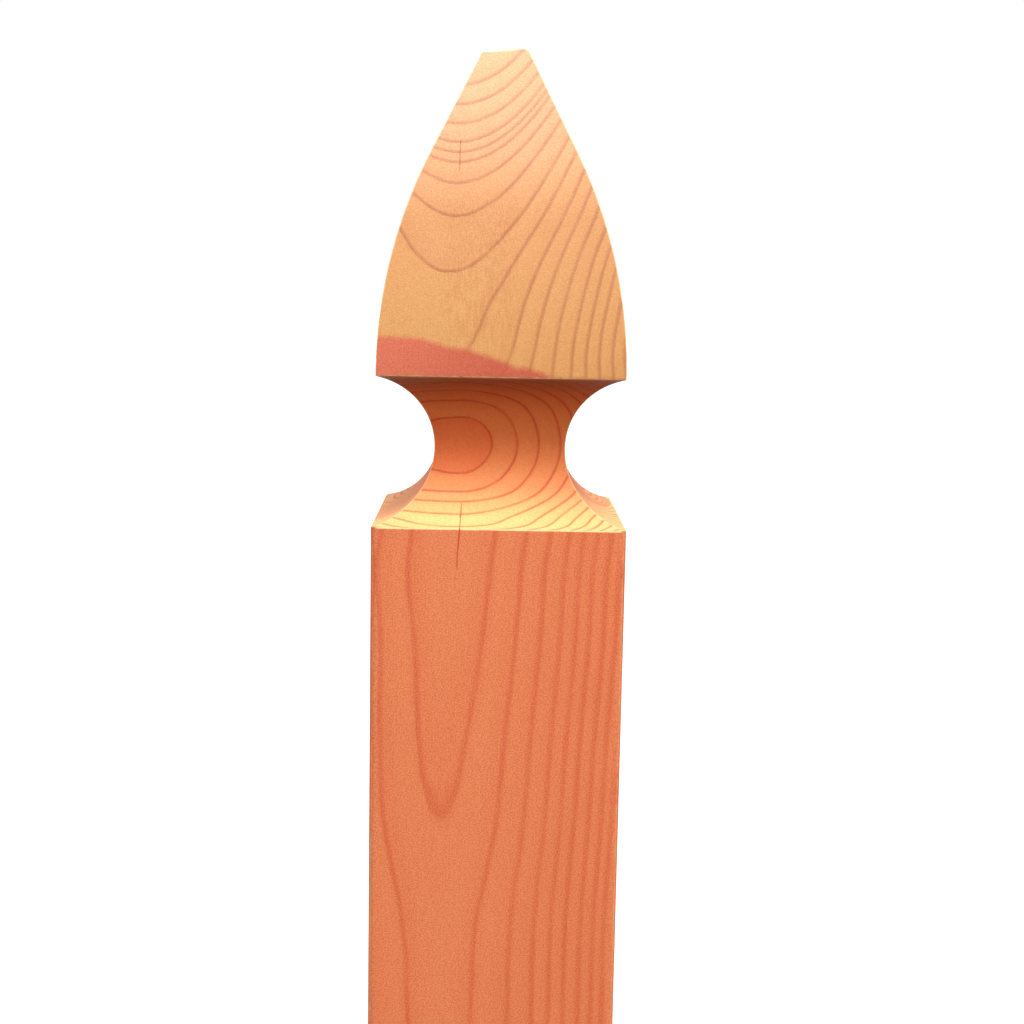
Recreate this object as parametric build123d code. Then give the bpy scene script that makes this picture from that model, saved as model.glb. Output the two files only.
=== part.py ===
from build123d import *

"""Gothic fence post cap: a milled timber cap that screws down on the top of a square timber post.

Frame: millimetres, +Z up, origin at the centre of the post's sawn foot. The front face looks along -Y.
The cap is a pointed head over a coved neck over a square plinth, flush with the post on all four sides.
A hanger bolt driven into the post's end grain carries the cap by a threaded insert in the cap's underside.
"""

import os
from math import cos, pi, radians, sin, sqrt, tan

# Timber: the section, and how the cap divides in height
SECTION = 89.0  # dressed width of a nominal 4 x 4 inch timber
EDGE_EASE = 3.0  # rounding of the section's four long edges
POST_LENGTH = 230.0  # stretch of the post under the cap
PLINTH_HEIGHT = 14.0  # square base of the cap, up to the arris where the cove starts
NECK_WIDTH = 46.6  # narrowest width, half way up the cove
COVE_RADIUS = 27.0
HEAD_WIDTH = 86.2  # the head is milled a little under the section
HEAD_HEIGHT = 113.6
HEAD_ARC_RADIUS = 178.6  # upright at the head's lower edge, then turning inwards
HEAD_ARC_TURN = 25.6  # degrees the arc turns before the sides run straight to the tip
TIP_SLANT = 6.5  # degrees that the sawn tip is off level, higher on the +X side

# Inch-series fixings: 3/8-16 hanger bolt, jam nut, washers and insert
BOLT_DIAMETER = 9.525
THREAD_PITCH = 25.4 / 16
BOLT_ABOVE = 38.1  # machine-threaded end, above the post's top
SHANK_BELOW = 12.7  # plain shank let into the post
LAG_LENGTH = 50.8  # wood-threaded end, with its point
LAG_POINT = 10.0
PILOT_DIAMETER = 8.0  # the wood thread bites into this hole
PILOT_SPARE = 3.0
NUT_ACROSS_FLATS = 14.29
NUT_HEIGHT = 5.56
WASHER_DIAMETER = 38.1
WASHER_BORE = 10.3
WASHER_THICKNESS = 1.6
SLIP_DIAMETER = 19.0
SLIP_BORE = 10.2
SLIP_THICKNESS = 1.6
INSERT_DIAMETER = 15.9  # across its coarse wood thread
INSERT_CORE = 14.3  # the hole drilled for it
INSERT_LENGTH = 25.4
INSERT_FLANGE_DIAMETER = 20.6
INSERT_FLANGE = 1.5
INSERT_HEX = 9.9  # hexagonal drive across flats, round the mouth
INSERT_HEX_DEPTH = 3.0

# Hollows in the cap's underside, and the weather seal round them
POCKET_DIAMETER = 42.0
BOLT_END_HOLE = 11.0  # clear hole for the bolt's end, above the insert
BOLT_END_ROOM = 6.0
SEAL_DIAMETER = 66.0  # middle of the ring
SEAL_WIDTH = 4.0
SEAL_HEIGHT = 2.5
FIT_GAP = 0.05  # radial room of a nut or washer that only sits in place
RUNNING_GAP = 0.1  # radial room between the bolt and the insert that turns on it
THRUST_GAP = 0.3  # between the slip washer and the insert's flange

HALF = SECTION / 2
JOINT_Z = POST_LENGTH
ARRIS_Z = JOINT_Z + PLINTH_HEIGHT
COVE_AXIS = NECK_WIDTH / 2 + COVE_RADIUS  # distance of the cove's centre from the timber's axis
COVE_Z = ARRIS_Z + sqrt(COVE_RADIUS**2 - (COVE_AXIS - HALF) ** 2)
HEAD_Z = COVE_Z + sqrt(COVE_RADIUS**2 - (COVE_AXIS - HEAD_WIDTH / 2) ** 2)
TIP_Z = HEAD_Z + HEAD_HEIGHT
STACK_HEIGHT = WASHER_THICKNESS + NUT_HEIGHT + SLIP_THICKNESS
FLANGE_Z = JOINT_Z + STACK_HEIGHT + THRUST_GAP
POCKET_TOP_Z = FLANGE_Z + INSERT_FLANGE


def disc(diameter, height, z):
    """A solid disc standing on height z."""
    return Pos(0, 0, z) * Cylinder(diameter / 2, height, align=(Align.CENTER, Align.CENTER, Align.MIN))


def ring(outer, inner, height, z):
    """A flat ring standing on height z."""
    return disc(outer, height, z) - disc(inner, height, z)


def eased_prism(z, height):
    """The dressed timber section with its long edges rounded."""
    square = RectangleRounded(SECTION, SECTION, EDGE_EASE)
    return Pos(0, 0, z) * extrude(square, height)


def side_outline():
    """Half of the cap's side view, from the joint up to a little past the tip, as (half width, height)."""
    turn = radians(HEAD_ARC_TURN)
    head_foot = (HEAD_WIDTH / 2, HEAD_Z)
    arc_middle = (
        HEAD_WIDTH / 2 - HEAD_ARC_RADIUS * (1 - cos(turn / 2)),
        HEAD_Z + HEAD_ARC_RADIUS * sin(turn / 2),
    )
    arc_end = (
        HEAD_WIDTH / 2 - HEAD_ARC_RADIUS * (1 - cos(turn)),
        HEAD_Z + HEAD_ARC_RADIUS * sin(turn),
    )
    over_tip = TIP_Z + HALF * tan(radians(TIP_SLANT))
    tip = (arc_end[0] - (over_tip - arc_end[1]) * tan(turn), over_tip)
    return [
        Line((0, JOINT_Z), (HALF, JOINT_Z)),
        Line((HALF, JOINT_Z), (HALF, ARRIS_Z)),
        ThreePointArc((HALF, ARRIS_Z), (NECK_WIDTH / 2, COVE_Z), head_foot),
        ThreePointArc(head_foot, arc_middle, arc_end),
        Line(arc_end, tip),
        Line(tip, (0, over_tip)),
        Line((0, over_tip), (0, JOINT_Z)),
    ]


def milled_blank():
    """The cap's outside: the same outline milled across X and across Y, out of the eased section."""
    half = make_face(Wire(side_outline()))
    outline = half + mirror(half, Plane.YZ)
    across_y = extrude(Plane.XZ * outline, HALF, both=True)
    across_x = Rot(0, 0, 90) * across_y
    blank = across_y & across_x & eased_prism(JOINT_Z, TIP_Z + HALF - JOINT_Z)
    saw_cut = Pos(0, 0, TIP_Z) * Rot(0, -TIP_SLANT, 0) * Pos(0, 0, HALF) * Box(2 * SECTION, 2 * SECTION, SECTION)
    return blank - saw_cut


def gothic_cap():
    """The timber cap, with the pocket, the insert's hole and the seal's groove in its underside."""
    cap = milled_blank()
    cap -= disc(POCKET_DIAMETER, POCKET_TOP_Z - JOINT_Z, JOINT_Z)
    cap -= disc(INSERT_CORE, INSERT_LENGTH, POCKET_TOP_Z)
    cap -= disc(BOLT_END_HOLE, JOINT_Z + BOLT_ABOVE + BOLT_END_ROOM - POCKET_TOP_Z, POCKET_TOP_Z)
    cap -= ring(SEAL_DIAMETER + SEAL_WIDTH, SEAL_DIAMETER - SEAL_WIDTH, SEAL_HEIGHT, JOINT_Z)
    return cap


def seal_ring():
    """Flat rubber ring that fills the groove and meets the post's end grain."""
    return ring(
        SEAL_DIAMETER + SEAL_WIDTH - 2 * FIT_GAP,
        SEAL_DIAMETER - SEAL_WIDTH + 2 * FIT_GAP,
        SEAL_HEIGHT,
        JOINT_Z,
    )


def post():
    """The top of the square post, with the stepped pilot hole for the hanger bolt."""
    timber = eased_prism(0, POST_LENGTH)
    timber -= disc(BOLT_DIAMETER, SHANK_BELOW, JOINT_Z - SHANK_BELOW)
    pilot = SHANK_BELOW + LAG_LENGTH + PILOT_SPARE
    timber -= disc(PILOT_DIAMETER, pilot, JOINT_Z - pilot)
    return timber


def hanger_bolt():
    """Double-ended bolt: machine thread above, plain shank, wood thread and point below."""
    radius = BOLT_DIAMETER / 2
    chamfer_size = THREAD_PITCH * 0.6
    tip = JOINT_Z + BOLT_ABOVE
    point_top = JOINT_Z - SHANK_BELOW - LAG_LENGTH + LAG_POINT
    outline = Polyline(
        (0, tip),
        (radius - chamfer_size, tip),
        (radius, tip - chamfer_size),
        (radius, point_top),
        (0, point_top - LAG_POINT),
        close=True,
    )
    return revolve(Plane.XZ * make_face(outline), Axis.Z)


def jam_nut():
    """Thin hexagon nut with both ends turned back to a cone, tight on the washer."""
    low = JOINT_Z + WASHER_THICKNESS
    corner = NUT_ACROSS_FLATS / sqrt(3)
    hexagon = Pos(0, 0, low) * extrude(RegularPolygon(corner, 6), NUT_HEIGHT)
    turned = disc(2 * corner, NUT_HEIGHT, low)
    turned = chamfer(turned.edges(), NUT_HEIGHT * 0.2)
    return (hexagon & turned) - disc(BOLT_DIAMETER + 2 * FIT_GAP, NUT_HEIGHT, low)


def threaded_insert():
    """Flanged insert with a hexagonal drive in its mouth, turned up into the cap."""
    body = disc(INSERT_DIAMETER, INSERT_LENGTH, POCKET_TOP_Z)
    body += disc(INSERT_FLANGE_DIAMETER, INSERT_FLANGE, FLANGE_Z)
    body -= disc(BOLT_DIAMETER + 2 * RUNNING_GAP, INSERT_LENGTH + INSERT_FLANGE, FLANGE_Z)
    drive = extrude(RegularPolygon(INSERT_HEX / sqrt(3), 6), INSERT_HEX_DEPTH)
    return body - Pos(0, 0, FLANGE_Z) * drive


def fender_washer():
    """Wide steel washer that spreads the nut's load over the end grain."""
    return ring(WASHER_DIAMETER, WASHER_BORE, WASHER_THICKNESS, JOINT_Z)


def slip_washer():
    """Nylon washer on top of the nut, which lets the cap turn the last degrees into line."""
    return ring(SLIP_DIAMETER, SLIP_BORE, SLIP_THICKNESS, JOINT_Z + WASHER_THICKNESS + NUT_HEIGHT)


PARTS = {
    "gothic_cap": gothic_cap,
    "threaded_insert": threaded_insert,
    "seal_ring": seal_ring,
    "slip_washer": slip_washer,
    "post": post,
    "hanger_bolt": hanger_bolt,
    "jam_nut": jam_nut,
    "fender_washer": fender_washer,
}

os.makedirs("parts", exist_ok=True)
for name, make in PARTS.items():
    export_step(make(), f"parts/{name}.step")

threaded_rise = BOLT_ABOVE - (FLANGE_Z - JOINT_Z)
print("joint at", JOINT_Z, "arris", ARRIS_Z, "cove centre", round(COVE_Z, 2))
print("head foot", round(HEAD_Z, 2), "tip", round(TIP_Z, 2))
print("turns that free the insert", round(threaded_rise / THREAD_PITCH, 2))
print("rise per radian", THREAD_PITCH / (2 * pi))
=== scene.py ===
from math import cos, pi, radians, sin, sqrt, tan

import bmesh
import bpy
import numpy as np
from mathutils import Matrix


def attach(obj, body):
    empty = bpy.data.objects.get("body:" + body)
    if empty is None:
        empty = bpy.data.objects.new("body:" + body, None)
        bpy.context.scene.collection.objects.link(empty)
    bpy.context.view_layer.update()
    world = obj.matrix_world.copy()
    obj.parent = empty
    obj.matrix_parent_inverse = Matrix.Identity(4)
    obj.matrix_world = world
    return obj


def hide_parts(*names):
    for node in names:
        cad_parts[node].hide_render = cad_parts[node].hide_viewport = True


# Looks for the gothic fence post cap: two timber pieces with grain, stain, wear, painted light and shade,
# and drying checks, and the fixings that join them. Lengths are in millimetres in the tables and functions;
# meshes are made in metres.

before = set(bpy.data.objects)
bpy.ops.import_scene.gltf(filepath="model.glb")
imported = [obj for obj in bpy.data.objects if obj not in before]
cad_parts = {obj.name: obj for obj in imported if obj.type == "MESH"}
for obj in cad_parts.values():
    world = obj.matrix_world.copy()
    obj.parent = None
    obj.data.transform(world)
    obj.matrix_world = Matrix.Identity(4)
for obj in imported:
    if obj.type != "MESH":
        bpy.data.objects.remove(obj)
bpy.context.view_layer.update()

MM = 0.001
DOME_LIGHT = 0.92  # world strength above the horizon
KEY_WATTS = 39.0

# The timber's form, as in the CAD
HALF = 44.5  # half the dressed section
EDGE_EASE = 3.0  # rounding of the section's long edges
JOINT_Z = 230.0
ARRIS_Z = 244.0
COVE_RADIUS = 27.0
COVE_AXIS = 50.3
HEAD_HALF = 43.1
HEAD_ARC_RADIUS = 178.6
HEAD_ARC_TURN = radians(25.6)
HEAD_HEIGHT = 113.6
TIP_SLANT = tan(radians(6.5))
COVE_Z = ARRIS_Z + sqrt(COVE_RADIUS**2 - (COVE_AXIS - HALF) ** 2)
HEAD_Z = COVE_Z + sqrt(COVE_RADIUS**2 - (COVE_AXIS - HEAD_HALF) ** 2)
TIP_Z = HEAD_Z + HEAD_HEIGHT
ARRIS_WEAR = 0.45  # radius worn on the milled arrises

# Drying checks in the front face
CHECK_X = -14.5
HEAD_CHECK_Z = (366.6, 377.2)
ARRIS_CHECK_TOP = 251.2

# Hollows
POCKET_R = 21.0
POCKET_TOP = 240.56
INSERT_HOLE_R = 7.15
INSERT_TOP = 265.96
BOLT_HOLE_R = 5.5
BOLT_HOLE_TOP = 274.1
SEAL_IN, SEAL_OUT, SEAL_H = 31.0, 35.0, 2.5
PILOT_R = 4.0
PILOT_BOTTOM = 163.5
BOLT_R = 4.7625
SHANK_BELOW = 12.7

# Fixings
BOLT_ABOVE = 38.1  # machine-threaded end, above the joint
LAG_LENGTH = 50.8  # wood-threaded end, with its point
LAG_ROOT = 3.3
LAG_PITCH = 3.63
THREAD_PITCH = 25.4 / 16
THREAD_DEPTH = 0.95
NUT_Z = JOINT_Z + 1.6  # on the fender washer
NUT_HEIGHT = 5.56
NUT_FLATS = 14.29

# Grain: the pith's path through the timber, and the growth rings counted outward from it.
# These numbers were not chosen by hand. A least-squares fit to ring lines traced on the photograph made the
# path, the first ring and the first 18 widths. They were rounded, and the path was then adjusted.
# The innermost rings and the last four widths are guesses.
PITH = (  # (height, x, y)
    (0, -18.5, 32.0),
    (55, -18.5, 31.5),
    (105, -19.0, 31.0),
    (142, -19.0, 29.5),
    (170, -18.5, 29.0),
    (205, -17.0, 28.5),
    (235, -16.5, 28.0),
    (243.5, -15.5, 28.0),
    (244.2, -15.5, 28.0),
    (247, -14.5, 31.5),
    (256, -15.0, 33.0),
    (266, -13.5, 34.5),
    (277, -13.5, 34.0),
    (290, -14.0, 31.0),
    (305, -19.5, 27.5),
    (325, -18.5, 28.0),
    (338, -18.0, 28.5),
    (350, -16.5, 29.5),
    (385, -16.5, 33.0),
    (414, -16.5, 34.5),
)

# Top edge of the stained skin left on the head's front, left, back and right faces. The front's points were
# read off the photograph and turned into millimetres by a helper script. The other faces' are invented.
PATCH_EDGES = (  # (place across, height above the head's foot)
    ((-44, 13.4), (-29, 13.2), (-18, 10.3), (-10, 8.8), (-2.5, 6.8), (5, 3.9), (13, 2.3), (18, 0)),
    ((-44, 13.4), (-20, 9), (10, 5.5), (30, 6.5), (44, 3.5)),
    ((-44, 3.5), (-25, 5), (5, 1), (44, -1)),
    ((-44, -2), (0, -1.5), (22, 2.5), (44, -1)),
)
HEART_RINGS = (3.5, 8, 13, 18.5, 24, 29.5, 34.5, 39, 43.5)  # radii of the innermost rings
FIRST_RING = 48.0  # radius of ring 1, the first that the front face cuts
RING_WIDTHS = (
    (2.9, 2.8, 2.6, 1.3, 1.2, 2.3, 2.9, 3.7, 2.9, 3.4, 2.8)
    + (3.1, 3.1, 2.6, 2.6, 2.9, 2.7, 2.2, 3.0, 3.0, 3.0, 3.0)
)


# ---------------------------------------------------------------- mesh helpers


def rise(value, low, high):
    """0 at or past low, 1 at or past high, smooth between. Low may be the larger."""
    share = np.clip((np.asarray(value, float) - low) / (high - low), 0, 1)
    return share * share * (3 - 2 * share)


def spread(points, step):
    """The same polyline with no run longer than step."""
    out = [points[0]]
    for a, b in zip(points, points[1:]):
        a, b = np.array(a, float), np.array(b, float)
        count = max(1, int(np.ceil(np.linalg.norm(b - a) / step)))
        out += [tuple(a + (b - a) * i / count) for i in range(1, count + 1)]
    return out


def grid_mesh(name, rows, first_pole, last_pole):
    """A closed mesh from rows of points round an axis, shut by a fan at each end."""
    count, columns = len(rows), len(rows[0])
    co = np.concatenate([np.reshape(rows, (-1, 3)), [first_pole, last_pole]]) * MM
    i, j = np.meshgrid(np.arange(count - 1), np.arange(columns), indexing="ij")
    k = (j + 1) % columns
    quads = np.stack([i * columns + j, i * columns + k, (i + 1) * columns + k, (i + 1) * columns + j], -1)
    ring = np.arange(columns)
    after = (ring + 1) % columns
    pole = count * columns
    last = (count - 1) * columns
    faces = quads.reshape(-1, 4).tolist()
    faces += np.stack([after, ring, np.full(columns, pole)], -1).tolist()
    faces += np.stack([last + ring, last + after, np.full(columns, pole + 1)], -1).tolist()
    mesh = bpy.data.meshes.new(name)
    mesh.from_pydata(co.tolist(), [], faces)
    return mesh


def face_outward(mesh):
    """Turns a closed mesh's faces outward, as one, by the sign of its volume."""
    work = bmesh.new()
    work.from_mesh(mesh)
    if work.calc_volume(signed=True) < 0:
        bmesh.ops.reverse_faces(work, faces=work.faces)
    work.to_mesh(mesh)
    work.free()


def finish_mesh(mesh):
    """Smooth shading, broken where the surface turns sharply."""
    mesh.shade_smooth()
    mesh.set_sharp_from_angle(angle=radians(38))
    mesh.update()


def place(name, mesh, material, body, node):
    """Adds a piece that stands for a CAD node and rides on its body."""
    piece = bpy.data.objects.new(name, mesh)
    bpy.context.scene.collection.objects.link(piece)
    mesh.materials.clear()
    mesh.materials.append(material)
    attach(piece, body)
    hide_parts(node)
    return piece


def give_attribute(mesh, name, values):
    """One number for each vertex, for the material to read."""
    layer = mesh.attributes.new(name, "FLOAT", "POINT")
    layer.data.foreach_set("value", np.asarray(values, np.float32))


def coordinates(mesh):
    """The vertices in millimetres, one row each."""
    co = np.zeros(len(mesh.vertices) * 3, np.float32)
    mesh.vertices.foreach_get("co", co)
    return co.reshape(-1, 3).astype(float) / MM


# ---------------------------------------------------------------- the square timber


def side_stations():
    """Places across one face from -1 to 1, closer together near the corners, without the last one."""
    flat_share, pitch = 0.93, 1.15
    flat = np.linspace(-flat_share, flat_share, int(2 * HALF * flat_share / pitch))
    near = np.array([0.94, 0.949, 0.957, 0.965, 0.972, 0.978, 0.984, 0.989, 0.9935, 0.997])
    return np.concatenate([[-1], -near[::-1], flat, near])


def rays():
    """Directions all the way round the timber, one (x, y) each, that reach a face's plane at length 1."""
    t = side_stations()
    x, y = t, -np.ones_like(t)
    sides = []
    for _ in range(4):
        sides.append(np.stack([x, y], -1))
        x, y = -y, x
    return np.concatenate(sides)


RAYS = rays()
ACROSS = np.minimum(np.abs(RAYS[:, 0]), np.abs(RAYS[:, 1]))
RAY_LENGTH = np.hypot(RAYS[:, 0], RAYS[:, 1])


def reach(half, ease):
    """How far along each ray a square section lies that has that half width and corner radius."""
    centre = half - ease
    dot = centre * (ACROSS + 1)
    length2 = ACROSS * ACROSS + 1
    under = dot * dot - length2 * (2 * centre * centre - ease * ease)
    on_arc = (dot + np.sqrt(np.maximum(under, 0))) / length2
    return np.where(half * ACROSS <= centre, half, on_arc)


def square_row(half, z, ease):
    """One row of points on a milled section that never leaves the eased timber."""
    far = np.minimum(reach(half, min(ease, half * 0.4)), reach(HALF, EDGE_EASE))
    return np.column_stack([RAYS * far[:, None], np.full(len(RAYS), z)])


def circle_row(radius, z):
    """One row of points on a circle round the axis."""
    return np.column_stack([RAYS / RAY_LENGTH[:, None] * radius, np.full(len(RAYS), z)])


def between_rows(a, b, shares):
    """Rows from a towards b."""
    return [a + (b - a) * s for s in shares]


def side_profile():
    """The cap's side view as closely spaced (half width, height), from the joint to past the tip."""
    plinth = [(HALF, z) for z in np.arange(JOINT_Z, ARRIS_Z, 0.05)]
    low = np.arctan2(ARRIS_Z - COVE_Z, HALF - COVE_AXIS) + 2 * pi
    high = np.arctan2(HEAD_Z - COVE_Z, HEAD_HALF - COVE_AXIS)
    cove = [
        (COVE_AXIS + COVE_RADIUS * cos(a), COVE_Z + COVE_RADIUS * sin(a))
        for a in np.linspace(low, high, 1500)
    ]
    head = [
        (HEAD_HALF - HEAD_ARC_RADIUS * (1 - cos(a)), HEAD_Z + HEAD_ARC_RADIUS * sin(a))
        for a in np.linspace(0, HEAD_ARC_TURN, 1600)
    ]
    half, z = head[-1]
    straight = [(half - (h - z) * tan(HEAD_ARC_TURN), h) for h in np.arange(z + 0.05, TIP_Z, 0.05)]
    return np.array(plinth + cove + head + straight)


def worn_profile():
    """The side view with its arrises rubbed round, resampled: close at the arrises and wide between them."""
    sharp = side_profile()
    run = np.concatenate([[0], np.cumsum(np.hypot(*np.diff(sharp, axis=0).T))])
    even = np.arange(0, run[-1], 0.05)
    line = np.column_stack([np.interp(even, run, sharp[:, k]) for k in (0, 1)])
    width = int(3 * ARRIS_WEAR / 0.05)
    weights = np.exp(-0.5 * (np.arange(-width, width + 1) * 0.05 / (ARRIS_WEAR * 0.6)) ** 2)
    weights /= weights.sum()
    padded = np.concatenate([np.repeat(line[:1], width, 0), line, np.repeat(line[-1:], width, 0)])
    worn = np.column_stack([np.convolve(padded[:, k], weights, "valid") for k in (0, 1)])
    worn[:20] = line[:20]  # the joint's own edge stays crisp, flush with the post
    corners = ((HALF, ARRIS_Z), (HEAD_HALF, HEAD_Z))
    arrises = [run[np.argmin(np.hypot(*(sharp - np.array(corner)).T))] for corner in corners]
    picks, at = [0.0], 0.0
    while at < even[-1] - 0.3:
        near = min(abs(at - a) for a in arrises)
        at += 0.16 if near < 1.3 else min(1.15, 0.16 + (near - 1.3) * 0.4)
        picks.append(min(at, even[-1]))
    return np.column_stack([np.interp(picks, even, worn[:, k]) for k in (0, 1)])


def tip_height(x):
    """Height of the sawn tip, rubbed round at its high side."""
    return TIP_Z + x * TIP_SLANT - 0.17 * np.maximum(x - (TIP_HALF - 2.6), 0) ** 2


PROFILE = worn_profile()
TIP_HALF = float(PROFILE[-1, 0])


def cap_rows():
    """All the rows of the timber cap: up the hollows, out over the underside, up the outside to the tip."""
    hollow = spread([(BOLT_HOLE_R, BOLT_HOLE_TOP), (BOLT_HOLE_R, INSERT_TOP)], 2.8)
    hollow += spread([(INSERT_HOLE_R, INSERT_TOP), (INSERT_HOLE_R, POCKET_TOP)], 3)
    hollow += spread([(INSERT_HOLE_R + 0.2, POCKET_TOP), (POCKET_R - 0.2, POCKET_TOP)], 3.5)
    hollow += spread([(POCKET_R, POCKET_TOP - 0.2), (POCKET_R, JOINT_Z + 0.3)], 2.8)
    hollow += spread([(POCKET_R + 0.3, JOINT_Z), (SEAL_IN - 0.05, JOINT_Z)], 2.5)
    hollow += [(SEAL_IN, JOINT_Z + 0.1), (SEAL_IN, JOINT_Z + SEAL_H), (SEAL_OUT, JOINT_Z + SEAL_H)]
    hollow += [(SEAL_OUT, JOINT_Z + 0.1), (SEAL_OUT + 0.05, JOINT_Z)]
    rows = [circle_row(2.5, BOLT_HOLE_TOP)] + [circle_row(r, z) for r, z in hollow]
    outline = square_row(HALF, JOINT_Z, ARRIS_WEAR)
    rows += between_rows(rows[-1], outline, (0.25, 0.5, 0.75, 0.93))
    for half, z in PROFILE:
        row = square_row(half, z, ARRIS_WEAR)
        lift = rise(z, TIP_Z - 14, TIP_Z) * (tip_height(row[:, 0]) - TIP_Z)
        row[:, 2] += lift
        row[:, :2] *= (1 - lift * tan(HEAD_ARC_TURN) / half)[:, None]
        rows.append(row)
    top = rows[-1]
    for inset, drop in ((0.12, -0.03), (0.4, 0.0), (1.2, 0.0), (2.5, 0.0), (4.2, 0.0), (6.0, 0.0)):
        row = top.copy()
        row[:, :2] *= (TIP_HALF - inset) / TIP_HALF
        row[:, 2] = tip_height(row[:, 0]) + 0.12 + drop
        rows.append(row)
    return rows


def post_rows():
    """The post: up the pilot hole, over the end grain, down the faces and across the foot."""
    hole = spread([(PILOT_R, PILOT_BOTTOM), (PILOT_R, JOINT_Z - SHANK_BELOW)], 6)
    hole += spread([(BOLT_R, JOINT_Z - SHANK_BELOW), (BOLT_R, JOINT_Z - 0.2)], 4)
    hole += spread([(BOLT_R + 0.3, JOINT_Z), (38, JOINT_Z)], 2.2)
    rows = [circle_row(1.5, PILOT_BOTTOM)] + [circle_row(r, z) for r, z in hole]
    rows += between_rows(rows[-1], square_row(HALF, JOINT_Z, ARRIS_WEAR), (0.25, 0.5, 0.75, 0.93))
    rows += [square_row(HALF, z, ARRIS_WEAR) for z in np.linspace(JOINT_Z, 0.5, 111)]
    foot = square_row(HALF - 0.5, 0, ARRIS_WEAR)
    rows += between_rows(foot, circle_row(1.0, 0), (0, 0.08, 0.2, 0.35, 0.5, 0.65, 0.8, 0.92, 1))
    return rows


def check_cutter(points, name):
    """A thin blade that cuts a drying check into the front face. Each point is (z, middle, width, depth)."""
    co, faces = [], []
    for z, middle, width, depth in points:
        face = -half_at(z)
        mouth = width / 2 * (depth + 1) / depth  # the blade starts 1 mm in front of the face
        co += [(middle - mouth, face - 1, z), (middle + mouth, face - 1, z), (middle, face + depth, z)]
    for k in range(len(points) - 1):
        a, b = 3 * k, 3 * k + 3
        for u, v in ((0, 1), (1, 2), (2, 0)):
            faces.append((a + u, a + v, b + v, b + u))
    faces += [(2, 1, 0), (len(co) - 3, len(co) - 2, len(co) - 1)]
    mesh = bpy.data.meshes.new(name)
    mesh.from_pydata([(x * MM, y * MM, z * MM) for x, y, z in co], [], faces)
    face_outward(mesh)
    return mesh


def cut(mesh, cutters):
    """The mesh with every cutter taken out of it."""
    piece = bpy.data.objects.new("uncut", mesh)
    bpy.context.scene.collection.objects.link(piece)
    tools = []
    for cutter in cutters:
        tool = bpy.data.objects.new(cutter.name, cutter)
        bpy.context.scene.collection.objects.link(tool)
        modifier = piece.modifiers.new(cutter.name, "BOOLEAN")
        modifier.object = tool
        modifier.operation = "DIFFERENCE"
        modifier.solver = "EXACT"
        tools.append(tool)
    graph = bpy.context.evaluated_depsgraph_get()
    made = bpy.data.meshes.new_from_object(piece.evaluated_get(graph))
    for obj in [piece] + tools:
        bpy.data.objects.remove(obj)
    return made


def wander(seed, count, size):
    """A short random walk that starts and ends near zero."""
    steps = np.random.default_rng(seed).normal(0, 1, count)
    walk = np.cumsum(steps)
    walk -= np.linspace(walk[0], walk[-1], count)
    return walk / max(1e-6, np.abs(walk).max()) * size


def head_check():
    """The short check high on the head's front face."""
    heights = np.linspace(*HEAD_CHECK_Z, 14)
    share = np.linspace(-1, 1, 14)
    shift = wander(3, 14, 0.16)
    points = []
    for z, s, d in zip(heights, share, shift):
        mouth = sqrt(1 - s * s)
        points.append((z, CHECK_X - 0.9 + d, 0.16 + 0.32 * mouth, 0.12 + 0.18 * mouth))
    return check_cutter(points, "head_check")


def arris_check():
    """The check across the plinth's arris, deep at the arris and running out down the front face."""
    below = np.linspace(JOINT_Z - 0.6, ARRIS_Z - 0.5, 16)
    heights = np.concatenate([below, np.linspace(ARRIS_Z, ARRIS_CHECK_TOP, 16)])
    shift = wander(8, len(heights), 0.2)
    points = []
    for z, d in zip(heights, shift):
        middle = CHECK_X + 0.85 + 0.045 * (z - ARRIS_Z) + d
        open_share = float(rise(z, JOINT_Z - 6, ARRIS_Z) * rise(z, 252.5, 248))
        points.append((z, middle, 0.25 + 0.3 * open_share, 0.35 + 0.45 * open_share))
    return check_cutter(points, "arris_check")


def half_at(z):
    """Half width of the cap's side view at a height."""
    return float(np.interp(z, PROFILE[:, 1], PROFILE[:, 0]))


# ---------------------------------------------------------------- what the timber's material reads


def smooth_path(z, knots, values):
    """A smooth curve through the values at the knots."""
    slopes = np.gradient(values, knots)
    k = np.clip(np.searchsorted(knots, z) - 1, 0, len(knots) - 2)
    step = knots[k + 1] - knots[k]
    s = (z - knots[k]) / step
    a, b = values[k], values[k + 1]
    ta, tb = slopes[k] * step, slopes[k + 1] * step
    return (
        a * (1 + 2 * s) * (1 - s) ** 2
        + ta * s * (1 - s) ** 2
        + b * s * s * (3 - 2 * s)
        - tb * s * s * (1 - s)
    )


def pith_distance(x, y, z):
    """Distance from the pith, as the rings count it: flattened on the left where the neck is."""
    heights, across, deep = np.array(PITH).T
    aside = x - smooth_path(z, heights, across)
    aside *= np.where(aside < 0, 1 - 0.48 * rise(z, 244.2, 249) * rise(z, 295, 288), 1)
    return np.hypot(aside, y - smooth_path(z, heights, deep))


def surface_slope(co, normals):
    """How fast the pith's distance changes along the surface: near 0 where a ring is cut flat."""
    x, y, z = co.T
    gradient = np.column_stack([
        pith_distance(x + 0.5, y, z) - pith_distance(x - 0.5, y, z),
        pith_distance(x, y + 0.5, z) - pith_distance(x, y - 0.5, z),
        pith_distance(x, y, z + 0.5) - pith_distance(x, y, z - 0.5),
    ])
    along = gradient - normals * (gradient * normals).sum(1)[:, None]
    return np.linalg.norm(along, axis=1)


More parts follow.
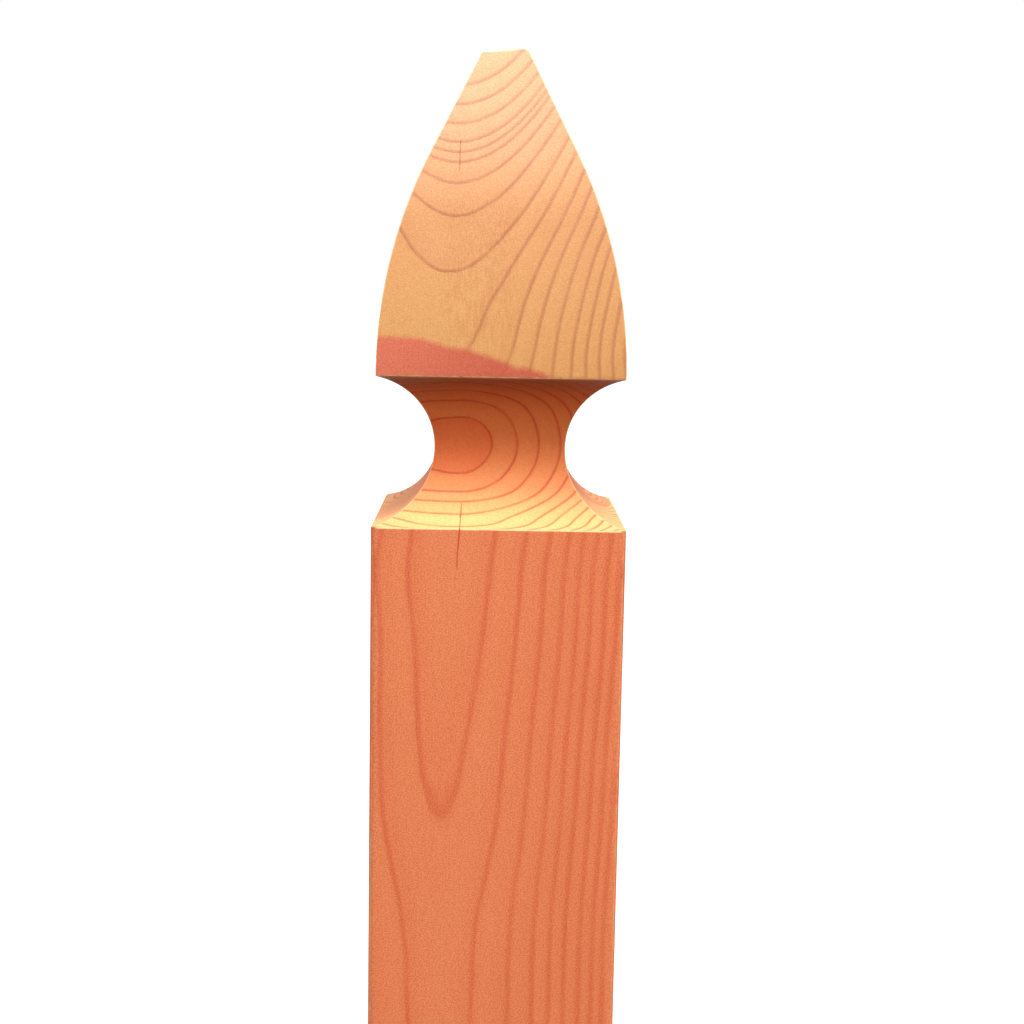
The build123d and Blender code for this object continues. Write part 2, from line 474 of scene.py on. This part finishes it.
def ring_numbers(co):
    """The ring number at each point, whole at the end of a year's growth, and that ring's width."""
    radius = pith_distance(*co.T)
    radii = [0.0] + list(HEART_RINGS) + list(np.cumsum((FIRST_RING,) + RING_WIDTHS))
    numbers = np.arange(len(radii)) - len(HEART_RINGS)
    widths = np.gradient(np.array(radii))
    return np.interp(radius, radii, numbers), np.interp(radius, radii, widths)


def dressed_depth(co):
    """Depth below the dressed faces of the eased square section."""
    qx, qy = np.abs(co[:, 0]) - (HALF - EDGE_EASE), np.abs(co[:, 1]) - (HALF - EDGE_EASE)
    outside = np.hypot(np.maximum(qx, 0), np.maximum(qy, 0))
    return EDGE_EASE - outside - np.minimum(np.maximum(qx, qy), 0)


def stain_reach(co):
    """How far a point is inside the weather-stained skin, negative where the wood is fresh."""
    x, y, z = co.T
    skin = np.where(z < ARRIS_Z + 0.3, (0.3 - dressed_depth(co)) * 12, -4.0)
    around = np.where(np.abs(y) >= np.abs(x), x, y)  # place across the face that the point is on
    front, left, back, right = (np.interp(around, *zip(*edge)) for edge in PATCH_EDGES)
    patch = np.where(np.abs(y) >= np.abs(x), np.where(y < 0, front, back), np.where(x < 0, left, right))
    return np.where(z > HEAD_Z - 0.25, patch - (z - HEAD_Z), skin)


def in_check(co):
    """True down inside the drying checks, which hold dirt and stain."""
    x, y, z = co.T
    near = np.abs(x - CHECK_X) < 1.6
    low = (z > JOINT_Z + 0.1) & (z < ARRIS_CHECK_TOP + 0.8)
    high = (z > HEAD_CHECK_Z[0] - 0.6) & (z < HEAD_CHECK_Z[1] + 0.8)
    below_face = y + np.interp(z, PROFILE[:, 1], PROFILE[:, 0])
    return near & (low | high) & (below_face > 0.1) & (below_face < 1.2)


def arris_distance(co):
    """Distance to the nearest worn arris of the cap, which places the pale band of wear and painted
    highlight.
    """
    x, y, z = co.T
    wide, narrow = np.maximum(np.abs(x), np.abs(y)), np.minimum(np.abs(x), np.abs(y))
    hip = np.where(z > ARRIS_Z, wide - narrow + 0.12, 0.7 * (wide - narrow) + 0.28)
    outside = wide > np.interp(z, PROFILE[:, 1], PROFILE[:, 0]) - 1
    hip = np.where(outside, hip, 9)  # far from any arris, so that end grain shows no pale band of wear and painted highlight on its diagonals
    plinth = np.hypot(z - ARRIS_Z, np.maximum(HALF - wide, 0))
    foot = np.hypot(z - HEAD_Z, HEAD_HALF - wide)
    tip = np.hypot(np.maximum(tip_height(x) - z, 0), TIP_HALF - wide)
    return np.minimum(np.minimum(hip, plinth), np.minimum(foot, tip))


def dress_timber(mesh):
    """Stores what the timber material reads: grain, stain, wear and painted highlight at the arrises, and
    the height that places painted light and shade.
    """
    co = coordinates(mesh)
    normals = np.zeros(len(co) * 3, np.float32)
    mesh.vertex_normals.foreach_get("vector", normals)
    normals = normals.reshape(-1, 3).astype(float)
    on_joint = (np.abs(co[:, 2] - JOINT_Z) < 0.2) & (np.abs(co[:, :2]).max(1) > HALF - 0.1)
    normals[on_joint, 2] = 0  # the joint's edge follows the face, not the underside
    normals /= np.maximum(np.linalg.norm(normals, axis=1), 1e-6)[:, None]
    number, width = ring_numbers(co)
    give_attribute(mesh, "ring", number)
    z = co[:, 2]
    thinness = np.where(z <= ARRIS_Z, 0.62, np.where(z < HEAD_Z, 1.4, 1.0))  # shaft, neck and head lines
    give_attribute(mesh, "spacing", thinness * width / np.maximum(surface_slope(co, normals), 0.1))
    give_attribute(mesh, "stain", np.where(in_check(co), 4.0, stain_reach(co)))
    give_attribute(mesh, "arris", arris_distance(co))
    give_attribute(mesh, "on_head", rise(z, HEAD_Z - 6, HEAD_Z - 5))
    give_attribute(mesh, "height", (z - ARRIS_Z) / (TIP_Z - ARRIS_Z))
    low_on_head = rise(z, 345, 330) * rise(z, HEAD_Z - 1, HEAD_Z)
    faded = rise(co[:, 0], -9, -15) * low_on_head * rise(-co[:, 1], 30, 34)
    give_attribute(mesh, "plain", faded * rise(number, 9.3, 9.6))
    give_attribute(mesh, "deep", rise(co[:, 0], -42, -4) * (z > HEAD_Z - 5))
    scraped = rise(z, 296, 315) * rise(z, 368, 350) * rise(np.abs(co[:, 0] + 8), 16, 8)
    give_attribute(mesh, "brushed", scraped)


# ---------------------------------------------------------------- material graphs


class Graph:
    """Short names for the shader nodes that the materials use."""

    def __init__(self, name):
        self.material = bpy.data.materials.new(name)
        self.material.use_nodes = True
        self.tree = self.material.node_tree
        self.shader = self.tree.nodes["Principled BSDF"]
        self.object = self.tree.nodes.new("ShaderNodeTexCoord").outputs["Object"]

    def put(self, value, socket):
        """Links another node's output to a socket, or sets the socket's own value."""
        if isinstance(value, bpy.types.NodeSocket):
            self.tree.links.new(value, socket)
        elif isinstance(value, tuple) and len(value) == 3 and socket.type == "RGBA":
            socket.default_value = (*value, 1)
        else:
            socket.default_value = value

    def math(self, operation, *values):
        node = self.tree.nodes.new("ShaderNodeMath")
        node.operation = operation
        for value, socket in zip(values, node.inputs):
            self.put(value, socket)
        return node.outputs[0]

    def step(self, value, low, high, to_low=0.0, to_high=1.0):
        """to_low at or past low, to_high at or past high, smooth between. Low may be the larger."""
        node = self.tree.nodes.new("ShaderNodeMapRange")
        node.interpolation_type = "SMOOTHSTEP"
        for item, socket in zip((value, low, high, to_low, to_high), node.inputs):
            self.put(item, socket)
        return node.outputs[0]

    def mix(self, share, a, b, blend="MIX"):
        """a where share is 0, b where it is 1."""
        node = self.tree.nodes.new("ShaderNodeMix")
        node.data_type = "RGBA"
        node.blend_type = blend
        self.put(share, node.inputs[0])
        self.put(a, node.inputs[6])
        self.put(b, node.inputs[7])
        return node.outputs[2]

    def ramp(self, value, stops):
        """Colour stops along a value from 0 to 1."""
        node = self.tree.nodes.new("ShaderNodeValToRGB")
        elements = node.color_ramp.elements
        while len(elements) < len(stops):
            elements.new(1.0)
        for element, (position, colour) in zip(elements, stops):
            element.position = position
        for element, (position, colour) in zip(elements, stops):
            element.color = (*colour, 1)
        self.put(value, node.inputs[0])
        return node.outputs[0]

    def tint(self, colour, share, by):
        """The colour, multiplied by another as far as share says."""
        return self.mix(share, colour, by, "MULTIPLY")

    def value(self, name):
        """A number stored on the mesh."""
        node = self.tree.nodes.new("ShaderNodeAttribute")
        node.attribute_name = name
        return node.outputs["Fac"]

    def stretched(self, x, y, z):
        """Object coordinates in millimetres, divided by a length along each axis."""
        node = self.tree.nodes.new("ShaderNodeVectorMath")
        node.operation = "MULTIPLY"
        self.put(self.object, node.inputs[0])
        node.inputs[1].default_value = (1 / (x * MM), 1 / (y * MM), 1 / (z * MM))
        return node.outputs[0]

    def noise(self, x, y, z, detail=2.0, roughness=0.5):
        """Noise with features of those sizes in millimetres, from about 0 to 1."""
        node = self.tree.nodes.new("ShaderNodeTexNoise")
        node.inputs["Scale"].default_value = 1.0
        node.inputs["Detail"].default_value = detail
        node.inputs["Roughness"].default_value = roughness
        self.put(self.stretched(x, y, z), node.inputs["Vector"])
        return node.outputs["Fac"]

    def cell(self, number):
        """A random number that stays the same within each whole number."""
        node = self.tree.nodes.new("ShaderNodeTexWhiteNoise")
        node.noise_dimensions = "1D"
        self.put(number, node.inputs["W"])
        return node.outputs["Value"]

    def bump(self, height, distance):
        node = self.tree.nodes.new("ShaderNodeBump")
        node.inputs["Strength"].default_value = 1.0
        node.inputs["Distance"].default_value = distance * MM
        self.put(height, node.inputs["Height"])
        return node.outputs[0]


# Painted light and shade in this ramp: the pale colours at 244 and 250 on the up-facing shelf are painted
# light. The deep orange at 257 and 268 in the cove's middle is painted warm reflected light. The dark
# colours from 283 to 295.8 under the head's foot are painted shade. The head's colour darkens from its foot
# to 350, set against the light that grows up its face. The paling from 375 to 408 towards the tip is a
# painted highlight.
MILLED_PAINTED_LIGHT_AND_SHADE = (  # the milled wood's colour at heights from the plinth's arris to the tip, with painted light and shade
    (244.0, (0.97, 0.62, 0.25)),
    (250.0, (0.97, 0.51, 0.19)),
    (257.0, (0.97, 0.36, 0.13)),
    (268.0, (0.97, 0.29, 0.09)),
    (283.0, (0.82, 0.23, 0.065)),
    (291.0, (0.62, 0.15, 0.038)),
    (295.8, (0.30, 0.062, 0.015)),
    (296.4, (0.83, 0.43, 0.15)),
    (325.0, (0.75, 0.39, 0.15)),
    (350.0, (0.68, 0.34, 0.135)),
    (375.0, (0.72, 0.41, 0.20)),
    (395.0, (0.76, 0.47, 0.25)),
    (408.0, (0.80, 0.50, 0.27)),
)
STAIN = (0.95, 0.312, 0.136)  # weathered skin of the shaft
PATCH_STAIN = (0.79, 0.21, 0.122)  # what is left of it on the head
PALE_WEAR_AND_HIGHLIGHT = (1.0, 0.70, 0.34)  # rubbed arrises, their pale colour also a painted highlight along the edges


def timber_material(name):
    """Softwood: rings cut from one solid pattern, stained faces, pale arrises from wear and painted
    highlight, painted light and shade by height, fine fibre.
    """
    g = Graph(name)
    drift = g.math("MULTIPLY", g.math("SUBTRACT", g.noise(14, 14, 60, 2), 0.5), 0.08)
    wobble = g.math("MULTIPLY", g.math("SUBTRACT", g.noise(4, 4, 12, 2), 0.5), 0.05)
    ring = g.math("ADD", g.value("ring"), g.math("ADD", drift, wobble))
    spacing = g.value("spacing")
    year = g.math("FRACT", ring)
    tone = g.cell(g.math("FLOOR", ring))

    # late wood: a line at the end of each year, a soft rise before it and a quick fall after it
    seen = g.math("SUBTRACT", 1.0, g.value("plain"))
    before = g.math("MULTIPLY", g.math("SUBTRACT", 1.0, year), spacing)
    after = g.math("MULTIPLY", year, spacing)
    line = g.math("MAXIMUM", g.step(before, 1.35, 0.15), g.step(after, 0.75, 0.0))
    strength = g.step(g.noise(8, 8, 26, 2), 0.25, 0.6, 0.65, 1.0)
    line = g.math("MULTIPLY", g.math("MULTIPLY", line, strength), seen)
    halo = g.math("MAXIMUM", g.step(before, 7.0, 0.3), g.step(after, 2.2, 0.0))
    halo = g.math("MULTIPLY", g.math("MAXIMUM", halo, g.step(year, 0.86, 1.0)), seen)

    # milled wood: its colour by height, which paints light on the shelf and the tip and shade in the top of
    # the cove, with a redder heart in the neck
    stops = [((z - ARRIS_Z) / (TIP_Z - ARRIS_Z), colour) for z, colour in MILLED_PAINTED_LIGHT_AND_SHADE]
    base = g.ramp(g.value("height"), stops)
    inner = g.math("MULTIPLY", g.step(ring, 9.15, 8.7), g.value("on_head"))
    base = g.tint(base, inner, (1.0, 0.97, 1.0))
    below_head = g.step(g.value("on_head"), 0.5, 0.4)
    heart = g.math("MULTIPLY", g.step(ring, 6.05, 5.95), below_head)
    base = g.tint(base, heart, (1.0, 0.80, 0.78))
    base = g.tint(base, halo, (0.975, 0.93, 0.93))
    base = g.tint(base, line, (0.79, 0.68, 0.74))
    low_line = g.math("MULTIPLY", line, below_head)
    base = g.tint(base, low_line, (1.0, 0.66, 0.62))

    # weathered skin, with a soft uneven edge
    blur = g.math("MULTIPLY", g.math("SUBTRACT", g.noise(5, 5, 5, 3, 0.6), 0.5), 2.2)
    stain = g.step(g.math("ADD", g.value("stain"), blur), -1.6, 1.4)
    skin = g.mix(g.value("on_head"), STAIN, PATCH_STAIN)
    skin = g.tint(skin, g.value("deep"), (0.86, 0.76, 0.74))
    stained = g.tint(skin, halo, (0.98, 0.91, 0.90))
    stained = g.tint(stained, low_line, (0.91, 0.74, 0.70))
    colour = g.mix(stain, base, stained)

    # each year's own tone, then clouds, fibre, speckle and the planer's scrape
    colour = g.mix(g.math("MULTIPLY", tone, 0.10), colour, g.tint(colour, 1.0, (0.93, 0.85, 0.80)))
    cloud = g.step(g.noise(22, 22, 45, 3, 0.6), 0.3, 0.7)
    colour = g.tint(colour, g.math("MULTIPLY", cloud, 0.6), (0.97, 0.93, 0.90))
    fibre = g.noise(0.5, 0.5, 14, 3, 0.6)
    colour = g.tint(colour, g.step(fibre, 0.35, 0.75), (0.98, 0.96, 0.95))
    grit = g.noise(0.55, 0.55, 0.42, 1)
    speckle = g.step(grit, 0.38, 0.62)
    colour = g.tint(colour, speckle, (0.93, 0.84, 0.77))
    rough_skin = g.math("MULTIPLY", stain, g.step(g.value("on_head"), 0.0, 1.0, 1.0, 0.35))
    colour = g.tint(colour, g.math("MULTIPLY", speckle, rough_skin), (0.94, 0.78, 0.70))
    scrape = g.math("MULTIPLY", g.step(g.noise(0.6, 0.6, 60, 1), 0.4, 0.6), g.value("brushed"))
    colour = g.tint(colour, scrape, (0.93, 0.88, 0.84))

    # arrises rubbed pale, the pale band also a painted highlight along every edge
    nick = g.math("MULTIPLY", g.math("SUBTRACT", g.noise(2.5, 2.5, 4, 3), 0.5), 0.5)
    worn = g.step(g.math("ADD", g.value("arris"), nick), 0.5, 0.15)
    colour = g.mix(g.math("MULTIPLY", worn, 0.75), colour, PALE_WEAR_AND_HIGHLIGHT)

    g.put(colour, g.shader.inputs["Base Color"])
    g.put(g.step(fibre, 0.2, 0.8, 0.55, 0.7), g.shader.inputs["Roughness"])
    g.shader.inputs["Specular IOR Level"].default_value = 0.3
    g.shader.inputs["Sheen Weight"].default_value = 0.12
    g.shader.inputs["Sheen Roughness"].default_value = 0.3
    g.shader.inputs["Sheen Tint"].default_value = (1.0, 0.85, 0.6, 1)
    height = g.math("ADD", g.math("MULTIPLY", fibre, 0.5), g.math("MULTIPLY", grit, 0.5))
    height = g.math("ADD", height, g.math("MULTIPLY", line, 0.5))
    g.put(g.bump(height, 0.16), g.shader.inputs["Normal"])
    return g.material


def metal_material(name, colour, dark, roughness):
    """Dull metal: cloudy tone and fine turning marks."""
    g = Graph(name)
    cloud = g.noise(3, 3, 3, 4, 0.6)
    fine = g.noise(0.25, 0.25, 0.12, 2)
    tone = g.mix(g.step(cloud, 0.35, 0.7), colour, dark)
    g.put(g.tint(tone, g.step(fine, 0.4, 0.7), (0.9, 0.9, 0.9)), g.shader.inputs["Base Color"])
    g.shader.inputs["Metallic"].default_value = 1.0
    g.put(g.step(cloud, 0.2, 0.8, roughness, roughness + 0.15), g.shader.inputs["Roughness"])
    g.put(g.bump(g.math("ADD", fine, cloud), 0.012), g.shader.inputs["Normal"])
    return g.material


def moulded_material(name, colour, dark, roughness):
    """Nylon or rubber: faint cloudiness and a moulded grain."""
    g = Graph(name)
    cloud = g.noise(4, 4, 4, 3)
    fine = g.noise(0.2, 0.2, 0.2, 2)
    g.put(g.mix(g.step(cloud, 0.3, 0.7), colour, dark), g.shader.inputs["Base Color"])
    g.put(g.step(fine, 0.2, 0.8, roughness, roughness + 0.12), g.shader.inputs["Roughness"])
    g.put(g.bump(fine, 0.02), g.shader.inputs["Normal"])
    return g.material


# ---------------------------------------------------------------- fixings


def turned_row(radius, z, columns=96):
    """One level row of points round the axis. The radius is one number, or one for each point."""
    angle = np.linspace(0, 2 * pi, columns, endpoint=False)
    return np.column_stack([radius * np.cos(angle), radius * np.sin(angle), np.full(columns, z)])


def turned_rows(profile, columns=96):
    """Rows of a turned piece from its (radius, height) outline."""
    return [turned_row(radius, z, columns) for radius, z in profile]


def hexagon_radii(flats, columns):
    """Distance from the axis to a hexagon, flats/2 at its flats, for each point of a row."""
    angle = np.linspace(0, 2 * pi, columns, endpoint=False)
    return flats / 2 / np.cos((angle + pi / 6) % (pi / 3) - pi / 6)


def loop_mesh(name, rows):
    """A closed tube of rows: the last row joins the first, as in a ring or a nut."""
    count, columns = len(rows), len(rows[0])
    co = np.reshape(rows, (-1, 3)) * MM
    i, j = np.meshgrid(np.arange(count), np.arange(columns), indexing="ij")
    k, n = (j + 1) % columns, (i + 1) % count
    quads = np.stack([i * columns + j, i * columns + k, n * columns + k, n * columns + j], -1)
    mesh = bpy.data.meshes.new(name)
    mesh.from_pydata(co.tolist(), [], quads.reshape(-1, 4).tolist())
    face_outward(mesh)
    return mesh


def rounded_ring(outer, inner, low, high, soft):
    """Outline of a flat ring with rounded edges, as (radius, height)."""
    outline = []
    corners = ((outer, high, 0), (inner, high, 90), (inner, low, 180), (outer, low, 270))
    for r, z, start in corners:
        cx = r - soft if r == outer else r + soft
        cz = z - soft if z == high else z + soft
        for a in np.radians(start + np.array([0, 30, 60, 90])):
            outline.append((cx + soft * cos(a), cz + soft * sin(a)))
    return outline


def thread_wave(phase):
    """A thread's height from root 0 to crest 1 over one pitch, with flats at both."""
    share = np.abs((phase % 1.0) - 0.5) * 2
    return np.clip((share - 0.2) / 0.65, 0, 1)


def threaded_row(z, root, crest, pitch, limit, columns):
    """One level row through a thread, no further out than limit."""
    angle = np.linspace(0, 2 * pi, columns, endpoint=False)
    wave = thread_wave(z / pitch - angle / (2 * pi))
    return turned_row(np.minimum(root + (crest - root) * wave, limit), z, columns)


def bolt_mesh():
    """Hanger bolt: machine thread above the joint, plain shank, wood thread and point below."""
    columns, rows = 48, []
    shank_z = JOINT_Z - SHANK_BELOW
    point_z, end = shank_z - LAG_LENGTH, JOINT_Z + BOLT_ABOVE
    for z in np.arange(point_z + 0.4, shank_z - 1, 0.3):
        limit = 0.5 + (BOLT_R - 0.5) * min(1, (z - point_z) / 10)
        fade = float(rise(z, shank_z - 5, shank_z - 1))
        root = min(LAG_ROOT + (BOLT_R - LAG_ROOT) * fade, limit * 0.75 + 0.25 * BOLT_R * fade)
        rows.append(threaded_row(z, root, BOLT_R, LAG_PITCH, limit, columns))
    rows += turned_rows([(BOLT_R, z) for z in (shank_z, JOINT_Z - 8, JOINT_Z - 3, JOINT_Z + 0.2)], columns)
    for z in np.arange(JOINT_Z + 0.6, end, THREAD_PITCH / 12):
        limit = min(BOLT_R, 3.75 + (end - z) * 1.1)
        root = BOLT_R - THREAD_DEPTH * float(rise(z, JOINT_Z + 0.4, JOINT_Z + 2.2))
        rows.append(threaded_row(z, root, BOLT_R, THREAD_PITCH, limit, columns))
    rows += turned_rows(((3.7, end), (2.0, end)), columns)
    mesh = grid_mesh("bolt", rows, (0, 0, point_z), (0, 0, end))
    face_outward(mesh)
    return mesh


def nut_mesh():
    """Jam nut: hexagon with its corners turned back at both ends, and a countersunk bore."""
    low, high = NUT_Z, NUT_Z + NUT_HEIGHT
    hexagon = hexagon_radii(NUT_FLATS, 144)
    rows = []
    foot, head = np.linspace(low, low + 1.4, 8), np.linspace(high - 1.4, high, 8)
    for z in np.concatenate([foot, np.linspace(low + 1.9, high - 1.9, 4), head]):
        cone = NUT_FLATS / 2 - 0.25 + 1.75 * min(z - low, high - z)
        rows.append(turned_row(np.minimum(hexagon, cone), z, 144))
    bore = ((5.5, 0), (4.9, 0.5), (4.83, 2.5))  # (radius, depth from either end)
    rows += turned_rows([(r, high - depth) for r, depth in bore], 144)
    rows += turned_rows([(r, low + depth) for r, depth in bore[::-1]], 144)
    return loop_mesh("nut", rows)


def insert_mesh():
    """Threaded insert: coarse knife thread outside, flange and hexagonal drive at the mouth, plain bore."""
    flange, body_z, top = JOINT_Z + 9.06, POCKET_TOP, INSERT_TOP
    core, crest, bore = 6.75, 7.95, 4.8625
    hexagon = hexagon_radii(9.9, 96)
    rows = turned_rows(((bore, top - 0.6), (bore + 0.5, top), (6.6, top)))
    for z in np.arange(top - 0.5, body_z + 0.8, -0.3):
        rows.append(threaded_row(z, core, crest, 3.2, 6.8 + (top - z) * 0.8, 96))
    rows += turned_rows(((core, body_z + 0.6), (core, body_z), (9.9, body_z), (10.3, body_z - 0.4)))
    rows += turned_rows(((10.3, flange + 0.4), (9.9, flange), (7.5, flange)))
    rows += turned_rows(((hexagon + 0.15, flange), (hexagon, flange + 0.2), (hexagon, flange + 3.0)))
    rows += turned_rows(((bore, flange + 3.1), (bore, (flange + top) / 2)))
    return loop_mesh("insert", rows)


# ---------------------------------------------------------------- build


def build_timber():
    """The cap and the post, from one solid of grain."""
    tip = (0, 0, float(tip_height(0)) + 0.12)
    cap_mesh = grid_mesh("gothic_cap_mesh", cap_rows(), (0, 0, BOLT_HOLE_TOP), tip)
    face_outward(cap_mesh)
    cap_mesh = cut(cap_mesh, [head_check(), arris_check()])
    post_mesh = grid_mesh("post_mesh", post_rows(), (0, 0, PILOT_BOTTOM), (0, 0, 0))
    face_outward(post_mesh)
    for mesh in (cap_mesh, post_mesh):
        finish_mesh(mesh)
        dress_timber(mesh)
    timber = timber_material("timber")
    place("timber_cap", cap_mesh, timber, "cap", "gothic_cap")
    place("timber_post", post_mesh, timber, "post_assembly", "post")


def build_fixings():
    """The bolt, nut, washers, insert and seal that join the two timber pieces."""
    steel = metal_material("bolt_steel", (0.62, 0.63, 0.65), (0.45, 0.47, 0.50), 0.28)
    nut_steel = metal_material("nut_steel", (0.66, 0.66, 0.64), (0.50, 0.50, 0.50), 0.3)
    plate = metal_material("washer_steel", (0.58, 0.59, 0.60), (0.42, 0.44, 0.46), 0.36)
    brass = metal_material("brass", (0.78, 0.56, 0.22), (0.62, 0.42, 0.15), 0.3)
    nylon = moulded_material("nylon", (0.82, 0.80, 0.74), (0.76, 0.74, 0.68), 0.42)
    rubber = moulded_material("rubber", (0.022, 0.022, 0.024), (0.035, 0.035, 0.036), 0.7)
    nut_top = NUT_Z + NUT_HEIGHT
    seal_ring = rounded_ring(SEAL_OUT - 0.05, SEAL_IN + 0.05, JOINT_Z, JOINT_Z + SEAL_H, 0.5)
    washer = loop_mesh("washer", turned_rows(rounded_ring(19.05, 5.15, JOINT_Z, NUT_Z, 0.3)))
    slip = loop_mesh("slip", turned_rows(rounded_ring(9.5, 5.1, nut_top, nut_top + 1.6, 0.35)))
    seal = loop_mesh("seal", turned_rows(seal_ring, 128))
    pieces = (
        (bolt_mesh(), steel, "post_assembly", "hanger_bolt", "bolt_steel"),
        (nut_mesh(), nut_steel, "post_assembly", "jam_nut", "nut_steel"),
        (washer, plate, "post_assembly", "fender_washer", "washer_steel"),
        (slip, nylon, "slip_washer", "slip_washer", "washer_nylon"),
        (insert_mesh(), brass, "cap", "threaded_insert", "insert_brass"),
        (seal, rubber, "cap", "seal_ring", "seal_rubber"),
    )
    for mesh, material, body, node, slot in pieces:
        finish_mesh(mesh)
        place(node + "_detail", mesh, material, body, node)


def build_floor():
    """A plain pale floor that doesn't throw its light back up into the cove."""
    mesh = bpy.data.meshes.new("floor")
    work = bmesh.new()
    bmesh.ops.create_circle(work, cap_ends=True, segments=96, radius=25.0)
    work.to_mesh(mesh)
    work.free()
    floor = bpy.data.objects.new("floor", mesh)
    bpy.context.scene.collection.objects.link(floor)
    g = Graph("floor")
    cloud = g.step(g.noise(60, 60, 60, 3), 0.3, 0.7)
    g.put(g.mix(cloud, (0.92, 0.92, 0.92), (0.90, 0.90, 0.90)), g.shader.inputs["Base Color"])
    g.shader.inputs["Roughness"].default_value = 0.9
    g.shader.inputs["Specular IOR Level"].default_value = 0.0
    g.shader.inputs["Emission Color"].default_value = (1, 1, 1, 1)
    g.shader.inputs["Emission Strength"].default_value = 0.3
    mesh.materials.append(g.material)
    floor.visible_diffuse = False


def build_light():
    """A white dome over the floor, and a broad soft lamp above the front right."""
    world = bpy.data.worlds.new("studio")
    bpy.context.scene.world = world
    world.use_nodes = True
    tree = world.node_tree
    background = tree.nodes["Background"]
    coordinate = tree.nodes.new("ShaderNodeTexCoord")
    split = tree.nodes.new("ShaderNodeSeparateXYZ")
    dome = tree.nodes.new("ShaderNodeMapRange")
    tree.links.new(coordinate.outputs["Generated"], split.inputs[0])
    tree.links.new(split.outputs["Z"], dome.inputs["Value"])
    dome.inputs["From Min"].default_value = -0.07
    dome.inputs["From Max"].default_value = -0.03
    dome.inputs["To Max"].default_value = DOME_LIGHT
    path = tree.nodes.new("ShaderNodeLightPath")
    seen = tree.nodes.new("ShaderNodeMath")
    seen.operation = "MAXIMUM"
    tree.links.new(dome.outputs[0], seen.inputs[0])
    tree.links.new(path.outputs["Is Camera Ray"], seen.inputs[1])
    tree.links.new(seen.outputs[0], background.inputs["Strength"])
    background.inputs["Color"].default_value = (1, 1, 1, 1)

    lamp = bpy.data.lights.new("key", "AREA")
    lamp.shape = "DISK"
    lamp.size = 1.15
    lamp.energy = KEY_WATTS
    key = bpy.data.objects.new("key", lamp)
    bpy.context.scene.collection.objects.link(key)
    aim = Matrix.Rotation(radians(19), 4, "Z") @ Matrix.Rotation(radians(27), 4, "X")
    key.matrix_world = Matrix.Translation((0, 0, 0.30)) @ aim @ Matrix.Translation((0, 0, 1.8))


def build_camera():
    """A camera in front of the head, a little above the cove and looking slightly down."""
    camera = bpy.data.objects.new("camera", bpy.data.cameras.new("camera"))
    bpy.context.scene.collection.objects.link(camera)
    camera.data.lens = 59.13
    camera.data.sensor_width = 36
    camera.matrix_world = (
        Matrix.Translation((-0.0028, -0.6205, 0.333))
        @ Matrix.Rotation(-0.0127, 4, "Z")
        @ Matrix.Rotation(pi / 2 - 0.1426, 4, "X")
        @ Matrix.Rotation(0.018, 4, "Z")
    )
    bpy.context.scene.camera = camera
    bpy.context.scene.view_settings.view_transform = "Standard"


build_timber()
build_fixings()
build_floor()
build_light()
build_camera()
